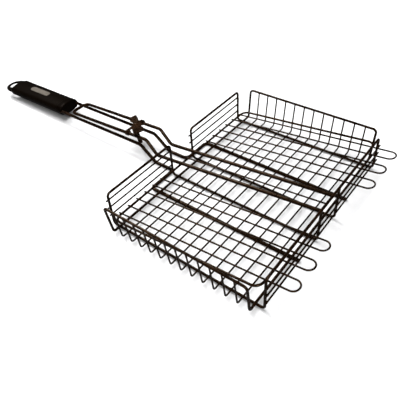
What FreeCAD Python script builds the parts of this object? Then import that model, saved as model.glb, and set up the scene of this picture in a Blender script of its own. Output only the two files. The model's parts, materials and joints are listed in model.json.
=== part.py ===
"""Two-piece wire grill basket: a folded wire tray, a drop-in wire lid and a handle latch.

Millimetres, +Z up.  The origin is under the middle of the tray, on the grate that the basket
stands on.  The handle points along -X and the lid's fingers point along +X.  The lid turns
about the third wire of the tray's finger-end wall, which its fingers rest on.
"""
import FreeCAD, Part
import math
import os

V = FreeCAD.Vector
Y_AXIS = V(0, 1, 0)
Z_AXIS = V(0, 0, 1)

# Wire and rod radii
ROD_R = 2.4              # handle rods
FRAME_R = 1.6            # heavy wire of the two tray frames
LID_FRAME_R = 1.5        # heavy wire round the lid
WIRE_R = 1.05            # thin filler wire
WELD = 0.2               # depth that one wire sinks into another at a weld
NUB = 0.5                # wire left standing past a weld

# Tray
CROSS_X = 98.7           # cross frame: half length at the floor
CROSS_Y = 150.0          # cross frame: half width at the floor
CROSS_LEAN = 5.35        # how far its two side walls lean out at the top
CROSS_TOP = 50.4         # height of its top wires
CROSS_COUNT = 12         # thin wires between its two sides
SIDE_X = (-110.9, 109.0)  # side frame: handle-end wall and finger-end wall
SIDE_Y = 137.6           # side frame: outer uprights
SIDE_GAP_Y = 22.4        # side frame: inner uprights, beside the handle
SIDE_TOP = 52.1          # height of its top wires
WALL_WIRE_Z = (16.8, 28.6, 40.4)
TOP_BEND = 5.0
FLOOR_BEND = 4.0

# Handle
HANDLE_Y = 15.5          # half spacing of the tray's handle rods
ANCHOR_Y = 61.0          # where they run across under the floor
ANCHOR_X = -116.5        # where they turn outwards beside the tray
ANCHOR_END_X = 106.5
HANDLE_FOOT_X = -150.0
HANDLE_KNEE_X = -175.5
HANDLE_SLOPE = 0.023
HANDLE_Z_AT_300 = 20.6   # height of the rods at X = -300
HANDLE_BACK_X = -441.5   # closed end, inside the grip

# Lid
LID_TILT = 6.0           # degrees; the finger end is the high end
LID_REST_GAP = 0.1       # coating gap between the fingers and the wire they rest on
LID_LEFT_X = -102.5
LID_RIGHT_X = 104.0
LID_Y = 142.6
LID_CORNER = 10.0
FINGER_TIP_X = 138.4
FINGER_COUNT = 3         # finger loops on each side of the handle
NEAR_WIRES = (-131.3, 15.5)   # first wire and pitch on the -Y side
FAR_WIRES = (46.5, 16.4)      # first wire and pitch on the +Y side
LID_ROD_Y = 15.3
LID_ROD_END_X = 106.0
LID_FOOT_X = -144.5
LID_KNEE_X = -162.5
LID_ROD_SLOPE = 0.06
LID_ROD_Z_AT_300 = 28.6
LID_ROD_BACK_X = -323.5

# Latch
LATCH_X = -195.0         # pivot of the turn button
STRAP_X = (-200.5, -189.5)
STRAP_T = 1.2
CURL_R = 4.0             # outside of the loose curls round the lid rods
CURL_RISE = 0.8          # a curl's middle stands this far above the rod's
CURL_TURN = 300.0        # degrees that the sheet is curled
CURL_WIDTH = 4.5         # the curls are narrower than the strap's middle
CURL_FROM = 9.0          # half length of the strap's wide middle
TURN_ANGLE = 55.0        # how far the button is turned off square at rest
TURN_LIFT = 5.0          # degrees that each wing is bent up
TURN_T = 1.4
HUB_R = 5.0
WING_FROM = 3.5          # bend line of a wing, out from the pivot
WING = ((0, 3.5, 1.0), (4.5, 3.6, 2.0), (8.5, 6.4, 3.0), (17.0, 5.4, 2.2))   # along, across, rounding
THUMB = ((0, 3.5, 1.0), (3.5, 3.8, 2.0), (8.5, 8.0, 3.0), (19.5, 8.0, 3.0))     # the larger wing, likewise
WING_SKEW = 4.0          # a wing's end is cut askew, longer on one side by this
WASHER_R = 4.6
WASHER_T = 0.8
PIVOT_R = 2.0
DOME_R = 4.2             # domed head of the rivet
DOME_SINK = 2.4
FOOT_R = 3.2             # upset foot of the rivet
FOOT_T = 0.9
BAR_LENGTH = 31.0
BAR_WIDTH = 6.0
BAR_T = 1.5
BAR_CLEAR = 0.6          # under the tray's handle rods

# Grip
GRIP_FRONT_X = -350.0
GRIP_LENGTH = 161.0
GRIP_W = 37.5
GRIP_H = 18.6
GRIP_SIDE_R = 7.5        # rounding of the two sides; the top and bottom are flatter arcs
GRIP_BACK_EDGE = 5.0     # rounding of the back, above and below the tail
COLLAR_LENGTH = 12.0
COLLAR_EDGE = 3.0
COLLAR_WALL = 2.2
COLLAR_PROUD = 0.3       # the collar stands this far outside the grip
SHELL_WALL = 3.0
BAY_W = 10.0             # half width of the hollows between the rods
BAYS = ((16.0, 32.0), (47.0, 77.0), (104.0, 130.0))   # hollows, back from the front
TAIL_T = 3.0
TAIL_LENGTH = 23.8
TAIL_INSET = 0.4         # the tail is this much narrower than the grip on each side
TAIL_EDGE = 1.2
HANG_R = 10.0
HANG_FROM_END = 13.0
PLATE_L = 46.0
PLATE_W = 10.5
PLATE_T = 1.4
PLATE_RIM = 0.4
PLATE_GAP = 0.2
PLATE_POCKET = 0.9
PLATE_AT = 72.5          # plate centre, back from the grip's front
SCREW_AT = (40.0, 84.0)
SCREW_R = 1.6
SCREW_BITE = 0.05        # how far the thread cuts into the upper shell
SCREW_CLEAR = 0.2        # round the shank and the head in the lower shell
SCREW_SEAT = 3.0         # depth of the seat from the grip's underside
SCREW_TIP = 5.0
SCREW_BLIND = 5.5        # depth of the blind holes in the upper shell
SCREW_HEAD_R = 3.2
SCREW_HEAD_H = 2.0
SLOT_LENGTH = 4.4        # cross recess of the screw heads
SLOT_WIDTH = 0.8
SLOT_DEPTH = 1.0
RUN = 0.05               # running clearance round a rod or pin
BEYOND = 60.0            # reaches past any latch or grip piece, for cutting

# Heights that follow from the stack of wires under the floor
rod_z = ROD_R
cross_z = 2 * ROD_R + FRAME_R - WELD
wire_z = 2 * ROD_R + WIRE_R - WELD
side_z = 2 * ROD_R - FRAME_R

wall_offset = FRAME_R + WIRE_R - WELD

# Lid hinge line: the wall wire that the fingers rest on
pivot = V(SIDE_X[1] + wall_offset, 0, WALL_WIRE_Z[2])
lid_wire_h = 2 * WIRE_R + LID_REST_GAP
lid_frame_h = lid_wire_h - WIRE_R - LID_FRAME_R + WELD
lid_rod_h = lid_frame_h + LID_FRAME_R + ROD_R - WELD


def fillet_arc(corner, before, after, radius):
    """Arc that rounds one corner of a path, and its two tangent points."""
    back = (before - corner).normalize()
    ahead = (after - corner).normalize()
    half = back.getAngle(ahead) / 2
    reach = radius / math.tan(half)
    middle = (back + ahead).normalize()
    centre = corner + middle * (radius / math.sin(half))
    start = corner + back * reach
    end = corner + ahead * reach
    return start, Part.Arc(start, centre - middle * radius, end).toShape(), end


def path(points, bends, closed=False):
    """Wire through points whose corners are rounded by the matching bend radii."""
    count = len(points)
    corners = range(count) if closed else range(1, count - 1)
    arcs = [fillet_arc(points[i], points[i - 1], points[(i + 1) % count], bends[i]) for i in corners]
    edges = []
    here = arcs[-1][2] if closed else points[0]
    for start, arc, end in arcs:
        if (start - here).Length > 1e-6:
            edges.append(Part.makeLine(here, start))
        edges.append(arc)
        here = end
    if not closed:
        edges.append(Part.makeLine(here, points[-1]))
    return Part.Wire(edges)


def rod_along(route, radius):
    """Round bar swept along a wire."""
    first = route.OrderedEdges[0]
    start = first.valueAt(first.FirstParameter)
    along = first.tangentAt(first.FirstParameter)
    ring = Part.Wire(Part.makeCircle(radius, start, along))
    return route.makePipeShell([ring], True, False)


def bar(start, end, radius):
    """Straight round bar between two points."""
    return Part.makeCylinder(radius, (end - start).Length, start, end - start)


def bent_rod(points, bends, radius, closed=False):
    """Round bar bent through points; bends is one radius or a list with one per point."""
    radii = bends if isinstance(bends, list) else [bends] * len(points)
    return rod_along(path(points, radii, closed), radius)


def handle_z(x):
    """Height of the tray's handle rods."""
    return HANDLE_Z_AT_300 + HANDLE_SLOPE * (x + 300)


def lid_rod_z(x):
    """Height of the lid's handle rods along the handle."""
    return LID_ROD_Z_AT_300 + LID_ROD_SLOPE * (x + 300)


def on_lid(x, y, height):
    """Point above the lid's hinge line at a given X, in the tilted plane of the lid."""
    tilt = math.radians(LID_TILT)
    along = (x - pivot.x + height * math.sin(tilt)) / math.cos(tilt)
    return V(x, y, pivot.z + along * math.sin(tilt) + height * math.cos(tilt))


def mirrored_in_y(points):
    """The same points on the other side of the middle plane, in reverse order."""
    return [V(p.x, -p.y, p.z) for p in reversed(points)]


# ---- tray ----------------------------------------------------------------------------------

def cross_frame():
    """Heavy closed wire: two floor edges along Y and the tops of the two leaning side walls."""
    top_y = CROSS_Y + CROSS_LEAN
    half = [V(-CROSS_X, -top_y, CROSS_TOP), V(CROSS_X, -top_y, CROSS_TOP), V(CROSS_X, -CROSS_Y, cross_z)]
    half = half + [V(CROSS_X, CROSS_Y, cross_z), V(CROSS_X, top_y, CROSS_TOP)]
    other = [V(-CROSS_X, top_y, CROSS_TOP), V(-CROSS_X, CROSS_Y, cross_z), V(-CROSS_X, -CROSS_Y, cross_z)]
    bends = [TOP_BEND, TOP_BEND, FLOOR_BEND, FLOOR_BEND, TOP_BEND, TOP_BEND, FLOOR_BEND, FLOOR_BEND]
    return bent_rod(half + other, bends, FRAME_R, closed=True)


def cross_wires():
    """Thin wires that cross the floor and climb both side walls."""
    end_z = CROSS_TOP - FRAME_R + WELD
    end_y = CROSS_Y + CROSS_LEAN * (end_z - wire_z) / (CROSS_TOP - wire_z)
    pitch = 2 * CROSS_X / (CROSS_COUNT + 1)
    wires = []
    for i in range(CROSS_COUNT):
        x = -CROSS_X + (i + 1) * pitch
        left = [V(x, -end_y, end_z), V(x, -CROSS_Y, wire_z)]
        wires.append(bent_rod(left + mirrored_in_y(left), FLOOR_BEND, WIRE_R))
    return Part.makeCompound(wires)


def side_frame():
    """One heavy wire: both halves of the handle-end wall and the whole finger-end wall."""
    butt_z = SIDE_TOP - FRAME_R + WELD
    back, front = SIDE_X
    half = [V(front, -SIDE_GAP_Y, butt_z), V(front, -SIDE_GAP_Y, side_z)]
    half = half + [V(back, -SIDE_GAP_Y, side_z), V(back, -SIDE_GAP_Y, SIDE_TOP)]
    half = half + [V(back, -SIDE_Y, SIDE_TOP), V(back, -SIDE_Y, side_z)]
    half = half + [V(front, -SIDE_Y, side_z), V(front, -SIDE_Y, SIDE_TOP)]
    return bent_rod(half + mirrored_in_y(half), TOP_BEND, FRAME_R)


def wall_wires(x, low_y, high_y):
    """Thin level wires on one stretch of an end wall."""
    return [bar(V(x, low_y, z), V(x, high_y, z), WIRE_R) for z in WALL_WIRE_Z]


def handle_end_wires():
    """Wall wires on the two halves of the handle-end wall."""
    inner = SIDE_GAP_Y - FRAME_R - NUB
    outer = SIDE_Y + FRAME_R + NUB
    x = SIDE_X[0] - wall_offset
    return Part.makeCompound(wall_wires(x, -outer, -inner) + wall_wires(x, inner, outer))


def finger_end_wires():
    """Full-width wall wires at the finger end; the lid's fingers rest on the highest."""
    outer = SIDE_Y + FRAME_R + NUB
    return Part.makeCompound(wall_wires(SIDE_X[1] + wall_offset, -outer, outer))


def handle_rod_path():
    """Route of the tray's handle rod, from under the floor to the grip and back."""
    half = [V(ANCHOR_END_X, -ANCHOR_Y, rod_z), V(ANCHOR_X, -ANCHOR_Y, rod_z), V(ANCHOR_X, -HANDLE_Y, rod_z)]
    half = half + [V(HANDLE_FOOT_X, -HANDLE_Y, rod_z), V(HANDLE_KNEE_X, -HANDLE_Y, handle_z(HANDLE_KNEE_X))]
    half = half + [V(HANDLE_BACK_X, -HANDLE_Y, handle_z(HANDLE_BACK_X))]
    bends = [0, 6.0, 8.0, 12.0, 12.0, HANDLE_Y - 0.1]
    return path(half + mirrored_in_y(half), bends + bends[::-1])


def handle_rod():
    """Heavy rod welded under the floor, bent into the handle and closed inside the grip."""
    return rod_along(handle_rod_path(), ROD_R)


# ---- lid -----------------------------------------------------------------------------------

def lid_frame():
    """Heavy wire round the lid."""
    edges = [(LID_LEFT_X, -LID_Y), (LID_RIGHT_X, -LID_Y), (LID_RIGHT_X, LID_Y), (LID_LEFT_X, LID_Y)]
    corners = [on_lid(x, y, lid_frame_h) for x, y in edges]
    return bent_rod(corners, LID_CORNER, LID_FRAME_R, closed=True)


def finger_wires():
    """Hairpin wires: each pair of lid wires ends in one finger loop."""
    start_x = LID_LEFT_X - LID_FRAME_R - NUB
    wires = []
    for first, pitch in (NEAR_WIRES, FAR_WIRES):
        for i in range(FINGER_COUNT):
            low = first + 2 * i * pitch
            high = low + pitch
            ends = [(start_x, low), (FINGER_TIP_X, low), (FINGER_TIP_X, high), (start_x, high)]
            points = [on_lid(x, y, lid_wire_h) for x, y in ends]
            wires.append(bent_rod(points, pitch / 2 - 0.2, WIRE_R))
    return Part.makeCompound(wires)


def lid_centre_wire():
    """Straight wire along the middle of the lid."""
    start = on_lid(LID_LEFT_X - LID_FRAME_R - NUB, 0, lid_wire_h)
    end = on_lid(LID_RIGHT_X + LID_FRAME_R, 0, lid_wire_h)
    return bar(start, end, WIRE_R)


def lid_handle_rod():
    """Heavy hairpin rod: two stiffeners across the lid that run on as the lid's handle."""
    half = [on_lid(LID_ROD_END_X, -LID_ROD_Y, lid_rod_h), on_lid(LID_FOOT_X, -LID_ROD_Y, lid_rod_h)]
    half = half + [V(x, -LID_ROD_Y, lid_rod_z(x)) for x in (LID_KNEE_X, LID_ROD_BACK_X)]
    bends = [0, 8.0, 8.0, 9.0]
    return bent_rod(half + mirrored_in_y(half), bends + bends[::-1], ROD_R)


# ---- latch ---------------------------------------------------------------------------------

def tilted_with_lid_rods(shape):
    """Tip a latch piece, drawn level round the pivot at height 0, onto the lid's handle rods."""
    shape.rotate(V(0, 0, 0), Y_AXIS, -math.degrees(math.atan(LID_ROD_SLOPE)))
    shape.translate(V(LATCH_X, 0, lid_rod_z(LATCH_X)))
    return shape


strap_high = CURL_RISE + CURL_R
turn_low = strap_high + WASHER_T
bar_top = handle_z(LATCH_X) - ROD_R - BAR_CLEAR - lid_rod_z(LATCH_X)


def box(x, y, z):
    """Block between pairs of limits."""
    return Part.makeBox(x[1] - x[0], y[1] - y[0], z[1] - z[0], V(x[0], y[0], z[0]))


def curl_point(side, radius, degrees):
    """Point on a curl, by its angle from the top towards the outside."""
    angle = math.radians(degrees)
    y = LID_ROD_Y + radius * math.sin(angle)
    return V(STRAP_X[0] - LATCH_X, side * y, CURL_RISE + radius * math.cos(angle))


def curl_arc(side, radius, start, end):
    """Arc of a curl between two angles."""
    return Part.Arc(*[curl_point(side, radius, angle) for angle in (start, (start + end) / 2, end)]).toShape()


def strap_sheet():
    """Sheet laid over both lid rods, its two ends curled round them."""
    inner = CURL_R - STRAP_T
    edges = []
    for side, start, end in ((1, CURL_R, inner), (-1, inner, CURL_R)):
        edges.append(Part.makeLine(curl_point(-side, start, 0), curl_point(side, start, 0)))
        edges.append(curl_arc(side, start, 0, CURL_TURN))
        edges.append(Part.makeLine(curl_point(side, start, CURL_TURN), curl_point(side, end, CURL_TURN)))
        edges.append(curl_arc(side, end, CURL_TURN, 0))
    return Part.Face(Part.Wire(edges)).extrude(V(STRAP_X[1] - STRAP_X[0], 0, 0))


def latch_strap():
    """Strap across the lid rods: a wide middle under the turn button and a narrow curl at each end."""
    curl_high = STRAP_X[0] + CURL_WIDTH - LATCH_X
    cuts = [Part.makeCylinder(PIVOT_R + RUN, BEYOND)]
    for side in (-1, 1):
        ends_y = sorted((side * CURL_FROM, side * BEYOND))
        cuts.append(box((curl_high, BEYOND), ends_y, (-BEYOND, BEYOND)))
        cuts.append(Part.makeCylinder(ROD_R - RUN, BEYOND, V(-BEYOND / 2, side * LID_ROD_Y, 0), V(1, 0, 0)))
    return tilted_with_lid_rods(strap_sheet().cut(cuts).removeSplitter())


def wing(form):
    """One wing of the turn button: a plate that widens away from the pivot and ends askew."""
    near = [V(x, -y, 0) for x, y, rounding in form]
    near[-1].x += WING_SKEW
    outline = near + [V(x, y, 0) for x, y, rounding in reversed(form)]
    rounding = [radius for x, y, radius in form]
    plate = Part.Face(path(outline, rounding + rounding[::-1], closed=True)).extrude(V(0, 0, TURN_T))
    plate.rotate(V(0, 0, 0), Y_AXIS, -TURN_LIFT)
    plate.translate(V(WING_FROM, 0, 0))
    return plate


def latch_turn():
    """Turn button: two bent-up thumb wings on a round hub."""
    hub = Part.makeCylinder(HUB_R, TURN_T)
    wings = [wing(WING), wing(THUMB)]
    wings[1].rotate(V(0, 0, 0), Z_AXIS, 180)
    button = hub.fuse(wings)
    below = box((-BEYOND, BEYOND), (-BEYOND, BEYOND), (-BEYOND, 0))
    button = button.cut(below).cut(Part.makeCylinder(PIVOT_R, BEYOND))
    button.rotate(V(0, 0, 0), Z_AXIS, 90 + TURN_ANGLE)
    button.translate(V(0, 0, turn_low))
    return tilted_with_lid_rods(button.removeSplitter())


def latch_washer():
    """Flat washer between the strap and the turn button."""
    ring = Part.makeCylinder(WASHER_R, WASHER_T - 2 * RUN, V(0, 0, strap_high + RUN))
    return tilted_with_lid_rods(ring.cut(Part.makeCylinder(PIVOT_R + RUN, BEYOND)))


def latch_pivot():
    """Shouldered rivet that joins the turn button to the bar below."""
    low = bar_top - BAR_T
    high = turn_low + TURN_T
    shank = Part.makeCylinder(PIVOT_R, high - low, V(0, 0, low))
    dome = Part.makeSphere(DOME_R, V(0, 0, high - DOME_SINK))
    cap = dome.common(box((-BEYOND, BEYOND), (-BEYOND, BEYOND), (high, BEYOND)))
    foot = Part.makeCylinder(FOOT_R, FOOT_T, V(0, 0, low - FOOT_T))
    return tilted_with_lid_rods(shank.fuse([cap, foot]).removeSplitter())


def latch_bar():
    """Bar in line with the wings: across the tray's handle rods it locks, between them it lets go."""
    straight = BAR_LENGTH - BAR_WIDTH
    low = bar_top - BAR_T
    plate = box((-straight / 2, straight / 2), (-BAR_WIDTH / 2, BAR_WIDTH / 2), (low, bar_top))
    ends = [Part.makeCylinder(BAR_WIDTH / 2, BAR_T, V(x, 0, low)) for x in (-straight / 2, straight / 2)]
    plate = plate.fuse(ends).cut(Part.makeCylinder(PIVOT_R, 2 * BAR_T, V(0, 0, low - BAR_T / 2)))
    plate.rotate(V(0, 0, 0), Z_AXIS, 90 + TURN_ANGLE)
    return tilted_with_lid_rods(plate.removeSplitter())


# ---- grip ----------------------------------------------------------------------------------

def tilted_with_handle(shape):
    """Tip a grip piece, drawn level behind its front face at height 0, onto the handle rods."""
    shape.rotate(V(0, 0, 0), Y_AXIS, -math.degrees(math.atan(HANDLE_SLOPE)))
    shape.translate(V(GRIP_FRONT_X, 0, handle_z(GRIP_FRONT_X)))
    return shape


def level_grip_point(point):
    """Where a point of the handle rod lies in the grip's own level frame."""
    moved = FreeCAD.Placement(V(GRIP_FRONT_X, 0, handle_z(GRIP_FRONT_X)),
                              FreeCAD.Rotation(Y_AXIS, -math.degrees(math.atan(HANDLE_SLOPE))))
    return moved.inverse().multVec(point)


def rod_channel():
    """The room that the handle rod takes inside the grip."""
    far = level_grip_point(V(HANDLE_BACK_X, HANDLE_Y, handle_z(HANDLE_BACK_X)))
    points = [V(10, -HANDLE_Y, 0), V(far.x, -HANDLE_Y, 0), V(far.x, HANDLE_Y, 0), V(10, HANDLE_Y, 0)]
    return bent_rod(points, HANDLE_Y - 0.1, ROD_R + RUN)


def oval(x, grow):
    """Cross-section of the grip at a station, grown outwards all round; four tangent arcs."""
    reach = GRIP_W / 2 - GRIP_SIDE_R
    side_r = GRIP_SIDE_R + grow
    half_h = GRIP_H / 2 + grow
    crown_r = (reach ** 2 + half_h ** 2 - side_r ** 2) / (2 * (half_h - side_r))
    sink = crown_r - half_h
    share = side_r / math.hypot(reach, sink)
    y = reach * (1 + share)
    z = sink * share
    points = [V(x, -y, z), V(x, 0, half_h), V(x, y, z), V(x, reach + side_r, 0)]
    points = points + [V(x, y, -z), V(x, 0, -half_h), V(x, -y, -z), V(x, -reach - side_r, 0), V(x, -y, z)]
    arcs = [Part.Arc(*points[i:i + 3]).toShape() for i in (0, 2, 4, 6)]
    return Part.Face(Part.Wire(arcs))


def oval_bar(front, back, grow, edge_at=None, edge=0):
    """Length of the grip's section between two stations, with the edge at one end rounded."""
    form = oval(-front, grow).extrude(V(front - back, 0, 0))
    if edge_at is None:
        return form
    rim = [e for e in form.Edges if abs(e.BoundBox.XMin + edge_at) < RUN and e.BoundBox.XLength < RUN]
    return form.makeFillet(edge, rim)


def tail():
    """Thin tail with a half-round end, level with the middle of the grip."""
    half_w = GRIP_W / 2 - TAIL_INSET
    front = -GRIP_LENGTH + TAIL_LENGTH + 2 * GRIP_BACK_EDGE
    block = box((-GRIP_LENGTH + half_w, front), (-half_w, half_w), (-TAIL_T / 2, TAIL_T / 2))
    end = Part.makeCylinder(half_w, TAIL_T, V(-GRIP_LENGTH + half_w, 0, -TAIL_T / 2))
    plate = block.fuse(end).removeSplitter()
    rims = [e for e in plate.Edges if e.BoundBox.ZLength < RUN and e.CenterOfMass.x < front - RUN]
    return plate.makeFillet(TAIL_EDGE, rims)


def grip_body():
    """Outside of both grip shells together, with the tail and its hang hole."""
    back = GRIP_LENGTH - TAIL_LENGTH
    body = oval_bar(COLLAR_LENGTH, back, 0, edge_at=back, edge=GRIP_BACK_EDGE)
    spigot = oval_bar(COLLAR_WALL + RUN, 2 * COLLAR_LENGTH, -COLLAR_WALL - RUN)
    hang = Part.makeCylinder(HANG_R, BEYOND, V(-GRIP_LENGTH + HANG_FROM_END, 0, -BEYOND / 2))
    return body.fuse([spigot, tail()]).cut(hang)


screw_seat = -GRIP_H / 2 + SCREW_SEAT


def lower_room():
    """The space that the lower shell takes: below the rods and ahead of the tail."""
    return box((-GRIP_LENGTH + TAIL_LENGTH + SHELL_WALL, 0), (-GRIP_W, GRIP_W), (-GRIP_H, 0))


def grip_hollow():
    """Bays between the rods that keep the walls even and leave a block round each screw."""
    half_h = GRIP_H / 2 - SHELL_WALL
    return Part.makeCompound([box((-far, -near), (-BAY_W, BAY_W), (-half_h, half_h)) for near, far in BAYS])


def grip_top():
    """Upper grip shell, with the tail, the plate's pocket and two blind screw holes."""
    shell = grip_body().cut(lower_room()).cut(rod_channel()).cut(grip_hollow())
    pocket = pill(PLATE_L + PLATE_GAP, PLATE_W + PLATE_GAP, GRIP_H / 2 - PLATE_POCKET, GRIP_H)
    shell = shell.cut(pocket)
    for at in SCREW_AT:
        shell = shell.cut(Part.makeCylinder(SCREW_R - SCREW_BITE, SCREW_BLIND, V(-at, 0, 0)))
    return tilted_with_handle(shell.removeSplitter())


def grip_bottom():
    """Lower grip shell, with counterbored screw holes."""
    shell = grip_body().common(lower_room()).cut(rod_channel()).cut(grip_hollow())
    for at in SCREW_AT:
        shank = Part.makeCylinder(SCREW_R + SCREW_CLEAR, BEYOND, V(-at, 0, -BEYOND))
        head = Part.makeCylinder(SCREW_HEAD_R + SCREW_CLEAR, BEYOND, V(-at, 0, screw_seat - BEYOND))
        shell = shell.cut([shank, head])
    return tilted_with_handle(shell.removeSplitter())


def grip_collar():
    """Front collar, a cup over the ends of both shells with a hole for each rod."""
    cup = oval_bar(0, COLLAR_LENGTH - RUN, COLLAR_PROUD, edge_at=0, edge=COLLAR_EDGE)
    cup = cup.cut(oval_bar(COLLAR_WALL, 2 * COLLAR_LENGTH, -COLLAR_WALL))
    for side in (-1, 1):
        start = V(-2 * COLLAR_LENGTH, side * HANDLE_Y, 0)
        cup = cup.cut(Part.makeCylinder(ROD_R + RUN, BEYOND, start, V(1, 0, 0)))
    return tilted_with_handle(cup)


def pill(length, width, low, high):
    """Round-ended plate over the middle of the grip."""
    straight = length - width
    x = -PLATE_AT
    plate = box((x - straight / 2, x + straight / 2), (-width / 2, width / 2), (low, high))
    ends = [Part.makeCylinder(width / 2, high - low, V(x + s * straight / 2, 0, low)) for s in (-1, 1)]
    return plate.fuse(ends).removeSplitter()


def grip_plate():
    """Blank metal name plate let into the top of the grip."""
    low = GRIP_H / 2 - PLATE_POCKET
    plate = pill(PLATE_L, PLATE_W, low, low + PLATE_T)
    rim = [edge for edge in plate.Edges if edge.BoundBox.ZMin > low + PLATE_T / 2]
    return tilted_with_handle(plate.makeFillet(PLATE_RIM, rim))


def grip_screws():
    """Two cross-recessed screws, put in from below."""
    screws = []
    half = SLOT_LENGTH / 2
    for at in SCREW_AT:
        face = V(-at, 0, screw_seat - SCREW_HEAD_H)
        screw = Part.makeCylinder(SCREW_HEAD_R, SCREW_HEAD_H, face)
        screw = screw.fuse(Part.makeCylinder(SCREW_R, SCREW_TIP - screw_seat, V(-at, 0, screw_seat)))
        for turn in (0, 90):
            slot = box((-half, half), (-SLOT_WIDTH / 2, SLOT_WIDTH / 2), (-SLOT_DEPTH, SLOT_DEPTH))
            slot.rotate(V(0, 0, 0), Z_AXIS, turn)
            slot.translate(face)
            screw = screw.cut(slot)
        screws.append(screw)
    return tilted_with_handle(Part.makeCompound(screws))


NODES = {
    "cross_frame": cross_frame,
    "cross_wires": cross_wires,
    "side_frame": side_frame,
    "handle_end_wires": handle_end_wires,
    "finger_end_wires": finger_end_wires,
    "handle_rod": handle_rod,
    "lid_frame": lid_frame,
    "lid_finger_wires": finger_wires,
    "lid_centre_wire": lid_centre_wire,
    "lid_handle_rod": lid_handle_rod,
    "latch_strap": latch_strap,
    "latch_turn": latch_turn,
    "latch_washer": latch_washer,
    "latch_pivot": latch_pivot,
    "latch_bar": latch_bar,
    "grip_top": grip_top,
    "grip_bottom": grip_bottom,
    "grip_collar": grip_collar,
    "grip_plate": grip_plate,
    "grip_screws": grip_screws,
}

os.makedirs("parts", exist_ok=True)
for node, make in NODES.items():
    make().exportStep("parts/" + node + ".step")
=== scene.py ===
"""Looks of the wire grill basket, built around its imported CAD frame. Metres, +Z up."""
import json
import math
import random

import bmesh
import bpy
from mathutils import Matrix, Vector, noise
from mathutils.bvhtree import BVHTree
from mathutils.geometry import intersect_ray_tri


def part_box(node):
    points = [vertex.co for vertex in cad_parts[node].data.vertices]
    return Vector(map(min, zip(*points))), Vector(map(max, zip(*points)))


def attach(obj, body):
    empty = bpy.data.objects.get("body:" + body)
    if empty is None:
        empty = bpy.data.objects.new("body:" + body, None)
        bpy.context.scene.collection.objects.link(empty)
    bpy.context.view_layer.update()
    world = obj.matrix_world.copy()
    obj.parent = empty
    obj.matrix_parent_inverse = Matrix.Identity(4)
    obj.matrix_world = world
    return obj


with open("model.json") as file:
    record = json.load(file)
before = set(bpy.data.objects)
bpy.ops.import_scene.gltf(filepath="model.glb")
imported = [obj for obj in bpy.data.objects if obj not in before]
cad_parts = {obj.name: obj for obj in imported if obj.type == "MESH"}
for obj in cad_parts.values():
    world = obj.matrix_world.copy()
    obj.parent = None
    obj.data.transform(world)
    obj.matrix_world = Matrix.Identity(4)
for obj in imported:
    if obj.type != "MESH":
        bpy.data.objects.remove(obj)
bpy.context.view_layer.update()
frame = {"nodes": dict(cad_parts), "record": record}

MM = 0.001
nodes = frame["nodes"]


# ---- materials -----------------------------------------------------------------------------

# Sockets of Blender's mix node, which have no names of their own
FLOAT_A, FLOAT_B = 2, 3
COLOUR_A, COLOUR_B, COLOUR_OUT = 6, 7, 2

WHITE = (1.0, 1.0, 1.0, 1.0)
BARE_RUB = (0.040, 0.022, 0.012, 1.0)       # where the coat is rubbed
DUST = (0.036, 0.026, 0.018, 1.0)
COAT_TINT = (1.0, 0.66, 0.40, 1.0)          # the coat's reflections are brown
PLASTIC_TINT = (1.0, 0.78, 0.60, 1.0)


class Nodes:
    """Short way to build a material's node tree."""

    def __init__(self, name):
        self.material = bpy.data.materials.new(name)
        self.material.use_nodes = True
        self.tree = self.material.node_tree
        self.shader = self.tree.nodes["Principled BSDF"]
        self.place = self.add("ShaderNodeTexCoord").outputs["Object"]

    def add(self, kind, **settings):
        node = self.tree.nodes.new(kind)
        for key, value in settings.items():
            setattr(node, key, value)
        return node

    def link(self, value, socket):
        """Plug an output, or set a plain value."""
        if hasattr(value, "links"):
            self.tree.links.new(value, socket)
        else:
            socket.default_value = value

    def noise(self, scale, detail=4.0, roughness=0.6, stretch=None):
        """Noise in the part's own metres; scale is bumps per metre."""
        node = self.add("ShaderNodeTexNoise")
        node.inputs["Scale"].default_value = scale
        node.inputs["Detail"].default_value = detail
        node.inputs["Roughness"].default_value = roughness
        self.link(self.stretched(stretch), node.inputs["Vector"])
        return node.outputs["Fac"]

    def cells(self, scale, feature="F1"):
        node = self.add("ShaderNodeTexVoronoi", feature=feature)
        node.inputs["Scale"].default_value = scale
        self.link(self.place, node.inputs["Vector"])
        return node.outputs["Distance"]

    def stretched(self, stretch):
        if stretch is None:
            return self.place
        mapping = self.add("ShaderNodeMapping")
        mapping.inputs["Scale"].default_value = stretch
        self.link(self.place, mapping.inputs["Vector"])
        return mapping.outputs["Vector"]

    def ramp(self, value, low, high, start=0.0, end=1.0):
        """Map a value from low..high to start..end, smoothly and clamped."""
        node = self.add("ShaderNodeMapRange", interpolation_type="SMOOTHSTEP")
        self.link(value, node.inputs["Value"])
        for socket, number in zip(("From Min", "From Max", "To Min", "To Max"), (low, high, start, end)):
            node.inputs[socket].default_value = number
        return node.outputs["Result"]

    def mix(self, share, first, second):
        """Colour between two colours."""
        node = self.add("ShaderNodeMix", data_type="RGBA")
        self.link(share, node.inputs["Factor"])
        self.link(first, node.inputs[COLOUR_A])
        self.link(second, node.inputs[COLOUR_B])
        return node.outputs[COLOUR_OUT]

    def math(self, operation, first, second):
        node = self.add("ShaderNodeMath", operation=operation)
        self.link(first, node.inputs[0])
        self.link(second, node.inputs[1])
        return node.outputs[0]

    def bump(self, height, distance, strength=1.0, below=None):
        """Bump from a height map; below is a coarser bump to build on."""
        node = self.add("ShaderNodeBump")
        node.inputs["Strength"].default_value = strength
        node.inputs["Distance"].default_value = distance
        self.link(height, node.inputs["Height"])
        if below is not None:
            self.link(below, node.inputs["Normal"])
        return node.outputs["Normal"]

    def finish(self, **values):
        for key, value in values.items():
            self.link(value, self.shader.inputs[key.replace("_", " ")])
        return self.material


def grey(value):
    return (value, value, value, 1.0)


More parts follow.
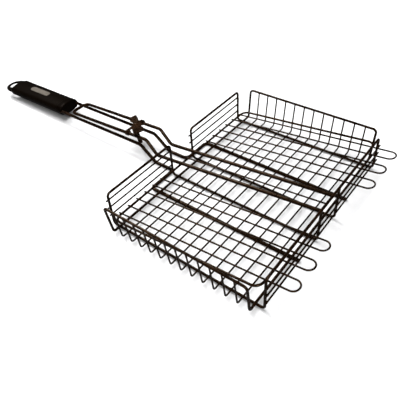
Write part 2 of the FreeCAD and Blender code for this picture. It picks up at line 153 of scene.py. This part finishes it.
def scaled(colour, share):
    """A colour made lighter or darker, no channel above 1."""
    return tuple(min(1.0, share * channel) for channel in colour[:3]) + (1.0,)


def rounded_edges(n, radius):
    """Normal that rounds a part's sharp edges over a small radius."""
    node = n.add("ShaderNodeBevel", samples=6)
    node.inputs["Radius"].default_value = radius
    return node.outputs["Normal"]


def coated_steel(name, dark, light):
    """Baked-on brown non-stick coat: orange peel, flecks, and a few rubbed places."""
    n = Nodes(name)
    blotch = n.ramp(n.noise(90, 5), 0.35, 0.68)
    fleck = n.ramp(n.cells(1500), 0.10, 0.22, 1.0, 0.0)
    streak = n.noise(420, 6, 0.7)
    rub = n.ramp(n.math("MULTIPLY", n.noise(260, 8, 0.75), n.noise(38, 2)), 0.385, 0.425)
    colour = n.mix(blotch, dark, light)
    colour = n.mix(n.math("MULTIPLY", fleck, 0.3), colour, scaled(light, 2.0))
    colour = n.mix(n.math("MULTIPLY", rub, 0.45), colour, BARE_RUB)
    rough = n.math("ADD", n.ramp(streak, 0.3, 0.7, 0.20, 0.32), n.math("MULTIPLY", blotch, 0.06))
    peel = n.bump(n.noise(700, 3, 0.55), 0.00010, 0.4, rounded_edges(n, 0.0003))
    grit = n.bump(n.cells(2600), 0.00004, 0.3, peel)
    return n.finish(Base_Color=colour, Roughness=rough, Normal=grit, Specular_IOR_Level=0.42,
                    Specular_Tint=COAT_TINT)


def moulded_plastic(name, base, rough, grain):
    """Brown-black heat-resistant plastic: leather grain, faint dust and polish from the hand."""
    n = Nodes(name)
    wear = n.ramp(n.noise(28, 4), 0.36, 0.66)
    dust = n.ramp(n.cells(900), 0.02, 0.09, 1.0, 0.0)
    colour = n.mix(wear, base, scaled(base, 1.6))
    colour = n.mix(n.math("MULTIPLY", dust, 0.15), colour, DUST)
    roughness = n.ramp(wear, 0.0, 1.0, rough + 0.09, rough - 0.06)
    hide = n.bump(n.cells(720, "SMOOTH_F1"), 0.00010 * grain, 0.6, rounded_edges(n, 0.0006))
    fine = n.bump(n.noise(2600, 3), 0.00004 * grain, 0.5, hide)
    return n.finish(Base_Color=colour, Roughness=roughness, Normal=fine, Specular_IOR_Level=0.055,
                    Specular_Tint=PLASTIC_TINT)


def brushed_metal(name, base, rough, stretch):
    """Fine brushed metal; stretch sets which way the brush lines run."""
    n = Nodes(name)
    lines = n.noise(900, 5, 0.7, stretch)
    stain = n.noise(70, 4)
    colour = n.mix(n.ramp(stain, 0.35, 0.7), base, scaled(base, 0.72))
    colour = n.mix(n.ramp(lines, 0.45, 0.8), colour, scaled(base, 1.25))
    roughness = n.ramp(lines, 0.3, 0.7, rough - 0.07, rough + 0.10)
    return n.finish(Base_Color=colour, Metallic=0.45, Roughness=roughness,
                    Normal=n.bump(lines, 0.00004, 0.35, rounded_edges(n, 0.0003)))


COAT = coated_steel("coated_wire", (0.0031, 0.0012, 0.0004, 1.0), (0.0095, 0.0036, 0.0012, 1.0))
SHEET = coated_steel("coated_sheet", (0.0056, 0.0022, 0.0007, 1.0), (0.0155, 0.0060, 0.0020, 1.0))
GRIP = moulded_plastic("grip_black", (0.0017, 0.0010, 0.0006, 1.0), 0.44, 1.0)
COLLAR = moulded_plastic("collar_black", (0.0012, 0.0007, 0.0004, 1.0), 0.36, 0.4)
PLATE = brushed_metal("plate_metal", (0.205, 0.180, 0.150, 1.0), 0.36, (0.04, 1.0, 1.0))
STEEL = brushed_metal("plain_steel", (0.30, 0.29, 0.28, 1.0), 0.30, (1.0, 1.0, 0.1))
MATERIALS = {"coated_wire": COAT, "coated_sheet": SHEET, "grip_black": GRIP, "collar_black": COLLAR,
             "plate_metal": PLATE, "plain_steel": STEEL}
SLOT_OF = {part["node"]: part["material_slot"] for part in frame["record"]["subparts"]}
BODY_OF = {node: body for body, names in frame["record"]["behaviour"]["bodies"].items() for node in names}


def paint(obj, material):
    """Give a piece one material."""
    obj.data.materials.clear()
    obj.data.materials.append(material)
    for face in obj.data.polygons:
        face.material_index = 0


for node, slot_name in SLOT_OF.items():
    paint(nodes[node], MATERIALS[slot_name])


# ---- pieces added to the frame -------------------------------------------------------------

MERGE = 1e-6                # CAD mesh points closer than this are one point
THIN_R = 1.05 * MM
LID_FRAME_R = 1.5 * MM
FRAME_R = 1.6 * MM
ROD_R = 2.4 * MM
WIRE_R = {"cross_wires": THIN_R, "handle_end_wires": THIN_R, "finger_end_wires": THIN_R,
          "lid_finger_wires": THIN_R, "lid_centre_wire": THIN_R, "lid_frame": LID_FRAME_R,
          "side_frame": FRAME_R, "cross_frame": FRAME_R, "handle_rod": ROD_R, "lid_handle_rod": ROD_R}


def piece(name, bm, body, slot_name):
    """Turn a bmesh into a smooth piece that rides on a body and takes a slot's material."""
    mesh = bpy.data.meshes.new(name)
    bmesh.ops.recalc_face_normals(bm, faces=bm.faces)
    bm.to_mesh(mesh)
    bm.free()
    for face in mesh.polygons:
        face.use_smooth = True
    obj = bpy.data.objects.new(name, mesh)
    bpy.context.scene.collection.objects.link(obj)
    paint(obj, MATERIALS[slot_name])
    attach(obj, body)


def welded(node):
    """Editable copy of a CAD node's mesh with its points merged."""
    bm = bmesh.new()
    bm.from_mesh(nodes[node].data)
    bmesh.ops.remove_doubles(bm, verts=bm.verts, dist=MERGE)
    bm.faces.ensure_lookup_table()
    return bm


def skin(bm, rings, closed=False):
    """Faces between each ring of points and the next one."""
    after = rings[1:] + rings[:1] if closed else rings[1:]
    for low_ring, high_ring in zip(rings, after):
        count = len(low_ring)
        for i in range(count):
            j = (i + 1) % count
            bm.faces.new((low_ring[i], low_ring[j], high_ring[j], high_ring[i]))


# Coating drops on the cut ends of wires

FLAT = 0.99999              # cosine between faces that count as one plane
ROUND_POINTS = 8
ROUNDNESS = 1.04            # most that a round end's points differ in distance from its middle
THICKEST_END = 3 * MM
AROUND = 20
DROP = ((-0.5, 0.97), (-0.2, 1.0), (0.05, 0.99), (0.2, 0.92), (0.33, 0.76), (0.42, 0.5), (0.46, 0.2))
WIRE_NODES = [node for node, slot_name in SLOT_OF.items() if slot_name == "coated_wire"]


def flat_patches(bm):
    """Groups of joined faces that lie in one plane."""
    seen = set()
    for face in bm.faces:
        if face.index in seen:
            continue
        seen.add(face.index)
        patch, queue = [face], [face]
        while queue:
            for edge in queue.pop().edges:
                for other in edge.link_faces:
                    if other.index not in seen and other.normal.dot(face.normal) > FLAT:
                        seen.add(other.index)
                        patch.append(other)
                        queue.append(other)
        yield patch


def cut_ends(node):
    """Centre, outward direction and radius of every round flat end on a node."""
    bm = welded(node)
    ends = []
    for patch in flat_patches(bm):
        points = {vert.index: vert.co.copy() for face in patch for vert in face.verts}
        if len(points) < ROUND_POINTS:
            continue
        centre = sum(points.values(), Vector()) / len(points)
        reach = [(point - centre).length for point in points.values()]
        if max(reach) < min(ROUNDNESS * min(reach), THICKEST_END):
            ends.append((centre, patch[0].normal.copy(), max(reach)))
    bm.free()
    return ends


def turned(bm, centre, axis, radius, profile):
    """Closed turned shape on an axis; the profile lists how far along and how wide, in wire radii."""
    turn = axis.to_track_quat("Z", "Y").to_matrix()
    rings = []
    for along, across in profile:
        ring = []
        for i in range(AROUND):
            angle = 2 * math.pi * i / AROUND
            spot = Vector((across * math.cos(angle), across * math.sin(angle), along)) * radius
            ring.append(bm.verts.new(centre + turn @ spot))
        rings.append(ring)
    skin(bm, rings)
    bm.faces.new(rings[0][::-1])
    bm.faces.new(rings[-1])


for body in ("tray", "lid"):
    drops = bmesh.new()
    for node in WIRE_NODES:
        if BODY_OF[node] == body:
            for centre, axis, radius in cut_ends(node):
                turned(drops, centre, axis, radius, DROP)
    piece(body + "_wire_end_drops", drops, body, "coated_wire")


# Upset ring where the lid's closed frame is butt-welded

BUTT_WELD_Y = 70 * MM
UPSET = ((-0.75, 0.97), (-0.45, 1.04), (-0.15, 1.13), (0.15, 1.13), (0.45, 1.04), (0.75, 0.97))


def butt_weld(node, body, y, radius):
    """Upset ring round a frame's edge that is both its lowest and nearest to the handle, at a given Y."""
    low_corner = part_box(node)[0]
    centre = Vector((low_corner[0] + radius, y, low_corner[2] + radius))
    made = bmesh.new()
    turned(made, centre, Vector((0, 1, 0)), radius, UPSET)
    piece(node + "_butt_weld", made, body, "coated_wire")


butt_weld("lid_frame", "lid", BUTT_WELD_Y, LID_FRAME_R)


# Weld beads where wires cross

BEAD_LUMP = 0.16            # how far lumps rise, over the bead's radius
BEAD_GRAIN = 1.7            # lumps across a radius
BEAD_SWELL = 0.1            # how much a bead's length, width and height differ
BEAD_SHARE = 1.22           # bead radius over the radius of the thinner wire
BEAD_SEED = 7
NOISE_SPAN = 9
CLUSTER = 5 * MM            # closer crossings than this share one bead


def crossings(first, second):
    """Places where the surfaces of two nodes cut each other, one for each joint between wires."""
    meshes = [welded(first), welded(second)]
    for bm in meshes:
        bmesh.ops.triangulate(bm, faces=bm.faces)
        bm.faces.ensure_lookup_table()
    trees = [BVHTree.FromBMesh(bm) for bm in meshes]
    spots = []
    for i, j in trees[0].overlap(trees[1]):
        pair = meshes[0].faces[i], meshes[1].faces[j]
        for edges_of, face in (pair, pair[::-1]):
            corners = [vert.co for vert in face.verts]
            for edge in edges_of.edges:
                start, end = (vert.co for vert in edge.verts)
                hit = intersect_ray_tri(*corners, end - start, start)
                if hit is not None and 0 <= (hit - start).dot(end - start) <= (end - start).length_squared:
                    spots.append(hit)
    for bm in meshes:
        bm.free()
    return gathered(spots)


def gathered(spots):
    """Centres of the separate clusters of points."""
    clusters = []
    for spot in spots:
        home = next((c for c in clusters if (c[0] - spot).length < CLUSTER), None)
        if home is None:
            clusters.append([spot, Vector(spot), 1])
        else:
            home[1] += spot
            home[2] += 1
    return [total / count for first, total, count in clusters]


def bead(bm, centre, radius, rng):
    """One lumpy weld bead that fills the corner between two crossing wires."""
    made = bmesh.ops.create_icosphere(bm, subdivisions=2, radius=radius)
    swell = [rng.uniform(1 - BEAD_SWELL, 1 + BEAD_SWELL) for axis in range(3)]
    offset = Vector([rng.uniform(0, NOISE_SPAN) for axis in range(3)])
    for vert in made["verts"]:
        lump = 1 + BEAD_LUMP * noise.noise(vert.co / radius * BEAD_GRAIN + offset)
        vert.co = centre + Vector(c * s for c, s in zip(vert.co, swell)) * lump


for body in ("tray", "lid"):
    rng = random.Random(BEAD_SEED)
    beads = bmesh.new()
    for fit in frame["record"]["behaviour"]["press_fits"]:
        first, second = fit[:2]
        if first in WIRE_R and second in WIRE_R and BODY_OF[first] == body and BODY_OF[second] == body:
            radius = BEAD_SHARE * min(WIRE_R[first], WIRE_R[second])
            for spot in crossings(first, second):
                bead(beads, spot, radius, rng)
    piece(body + "_weld_beads", beads, body, "coated_wire")


# Raised rim on the blank name plate

RIM_R = 0.28 * MM
RIM_INSET = 1.0 * MM
RIM_STEPS = 16
RIM_SIDES = 8


def pill_outline(half_l, half_w):
    """Points round a pill shape in its own plane."""
    points = []
    for centre, start in ((half_l - half_w, -90), (half_w - half_l, 90)):
        for i in range(RIM_STEPS + 1):
            angle = math.radians(start + 180 * i / RIM_STEPS)
            points.append((centre + half_w * math.cos(angle), half_w * math.sin(angle)))
    return points


def grip_slope():
    """Rise of the grip per length, from the hang hole's axis."""
    mount = next(m for m in frame["record"]["mounts"] if m["name"] == "hang_hole")
    return -mount["axis"][0] / mount["axis"][2]


def plate_rim():
    """Thin raised line just inside the edge of the name plate."""
    low_corner, high_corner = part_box("grip_plate")
    middle = (Vector(low_corner) + Vector(high_corner)) / 2
    half_w = (high_corner[1] - low_corner[1]) / 2 - RIM_INSET
    half_l = (high_corner[0] - low_corner[0]) / 2 - RIM_INSET
    tilt = Matrix.Rotation(-math.atan(grip_slope()), 3, "Y")
    along, normal = tilt @ Vector((1, 0, 0)), tilt @ Vector((0, 0, 1))
    top = max((vert.co - middle).dot(normal) for vert in nodes["grip_plate"].data.vertices)
    bm = bmesh.new()
    outline = pill_outline(half_l, half_w)
    rings = []
    for i, (u, v) in enumerate(outline):
        before, after = outline[i - 1], outline[(i + 1) % len(outline)]
        run = Vector((after[0] - before[0], after[1] - before[1])).normalized()
        spot = middle + along * u + Vector((0, v, 0)) + normal * top
        side = along * -run.y + Vector((0, run.x, 0))
        ring = []
        for j in range(RIM_SIDES):
            angle = 2 * math.pi * j / RIM_SIDES
            ring.append(bm.verts.new(spot + (side * math.cos(angle) + normal * math.sin(angle)) * RIM_R))
        rings.append(ring)
    skin(bm, rings, closed=True)
    piece("grip_plate_rim", bm, BODY_OF["grip_plate"], "plate_metal")


plate_rim()


# ---- stage, light and camera ---------------------------------------------------------------

FLOOR_SIZE = 6.0
FLOOR_DIMMED = 0.93          # share of the floor's colour that reflections leave out
FADE_FROM = 0.7              # the floor fades into the white backdrop between these distances
FADE_TO = 1.7
FLOOR_DARK = (0.78, 0.78, 0.785, 1.0)
FLOOR_PALE = (0.81, 0.81, 0.815, 1.0)
FLOOR_MIRRORED = 0.05
WORLD_LIGHT = 0.12
WORLD_MIRRORED = 0.03        # the backdrop is this bright in reflections


def ray_switch(tree, kind, ordinary, special):
    """A value that differs for one kind of ray."""
    path = tree.nodes.new("ShaderNodeLightPath")
    node = tree.nodes.new("ShaderNodeMix")
    for value, socket in ((path.outputs[kind], 0), (ordinary, FLOAT_A), (special, FLOAT_B)):
        if hasattr(value, "links"):
            tree.links.new(value, node.inputs[socket])
        else:
            node.inputs[socket].default_value = value
    return node.outputs[0]


def floor():
    """Seamless pale floor, lit from above, that a camera below it sees through."""
    mesh = bpy.data.meshes.new("floor")
    corners = [(x * FLOOR_SIZE, y * FLOOR_SIZE, 0) for x, y in ((-1, -1), (1, -1), (1, 1), (-1, 1))]
    mesh.from_pydata(corners, [], [(0, 1, 2, 3)])
    plane = bpy.data.objects.new("floor", mesh)
    bpy.context.scene.collection.objects.link(plane)
    n = Nodes("floor")
    colour = n.mix(n.noise(3, 2), FLOOR_DARK, FLOOR_PALE)
    dim = n.mix(ray_switch(n.tree, "Is Glossy Ray", 0.0, FLOOR_DIMMED), colour, grey(FLOOR_MIRRORED))
    length = n.add("ShaderNodeVectorMath", operation="LENGTH")
    n.link(n.place, length.inputs[0])
    fade = n.ramp(length.outputs["Value"], FADE_FROM, FADE_TO, 0.0, 1.0)
    glow = ray_switch(n.tree, "Is Camera Ray", 0.0, fade)
    material = n.finish(Base_Color=dim, Roughness=0.6, Emission_Color=WHITE, Emission_Strength=glow)
    see_through = n.add("ShaderNodeBsdfTransparent")
    back = n.add("ShaderNodeNewGeometry").outputs["Backfacing"]
    swap = n.add("ShaderNodeMixShader")
    n.link(n.math("MULTIPLY", back, ray_switch(n.tree, "Is Camera Ray", 0.0, 1.0)), swap.inputs[0])
    n.tree.links.new(n.shader.outputs["BSDF"], swap.inputs[1])
    n.tree.links.new(see_through.outputs["BSDF"], swap.inputs[2])
    n.tree.links.new(swap.outputs["Shader"], n.tree.nodes["Material Output"].inputs["Surface"])
    paint(plane, material)


def area_light(name, place, aim, size, watts, mirrored=True):
    """Round soft light aimed at a point; it needn't show in reflections."""
    lamp = bpy.data.lights.new(name, "AREA")
    lamp.shape = "DISK"
    lamp.size = size
    lamp.energy = watts
    obj = bpy.data.objects.new(name, lamp)
    obj.location = place
    obj.rotation_euler = (Vector(aim) - Vector(place)).to_track_quat("-Z", "Y").to_euler()
    obj.visible_glossy = mirrored
    bpy.context.scene.collection.objects.link(obj)


def lights():
    """White backdrop, a wide soft light overhead and two smaller ones that draw the highlights."""
    world = bpy.data.worlds.new("studio")
    world.use_nodes = True
    tree = world.node_tree
    background = tree.nodes["Background"]
    background.inputs["Color"].default_value = WHITE
    unlit = ray_switch(tree, "Is Glossy Ray", WORLD_LIGHT, WORLD_MIRRORED)
    tree.links.new(ray_switch(tree, "Is Camera Ray", unlit, 1.0), background.inputs["Strength"])
    bpy.context.scene.world = world
    area_light("overhead", (-0.25, -0.05, 1.6), (-0.08, 0, 0), 1.5, 41, mirrored=False)
    area_light("key", (-1.15, 0.25, 1.5), (-0.05, 0, 0), 0.45, 15)
    area_light("fill", (0.95, -0.85, 1.1), (-0.1, 0, 0), 0.4, 10)


CAMERA_AZIMUTH = 40.78
CAMERA_ELEVATION = 42.93
CAMERA_ROLL = -4.79
CAMERA_DISTANCE = 0.6081
CAMERA_TARGET = Vector((-0.04497, -0.04661, 0.0062))
FOCAL_SHARE = 1.1745            # focal length over the width of the picture
SENSOR_WIDTH = 36.0             # millimetres
NEAR_CLIP = 0.02


def camera():
    """Camera at the reference view, aimed at a point on the tray's floor."""
    data = bpy.data.cameras.new("camera")
    data.sensor_width = SENSOR_WIDTH
    data.lens = FOCAL_SHARE * SENSOR_WIDTH
    data.clip_start = NEAR_CLIP
    obj = bpy.data.objects.new("camera", data)
    bpy.context.scene.collection.objects.link(obj)
    azimuth, elevation = math.radians(CAMERA_AZIMUTH), math.radians(CAMERA_ELEVATION)
    flat = math.cos(elevation)
    back = Vector((math.sin(azimuth) * flat, -math.cos(azimuth) * flat, math.sin(elevation)))
    turn = (-back).to_track_quat("-Z", "Y").to_matrix()
    roll = Matrix.Rotation(math.radians(CAMERA_ROLL), 3, "Z")
    obj.matrix_world = Matrix.Translation(CAMERA_TARGET + back * CAMERA_DISTANCE) @ (turn @ roll).to_4x4()
    bpy.context.scene.camera = obj


floor()
lights()
camera()
bpy.context.scene.view_settings.view_transform = "Standard"
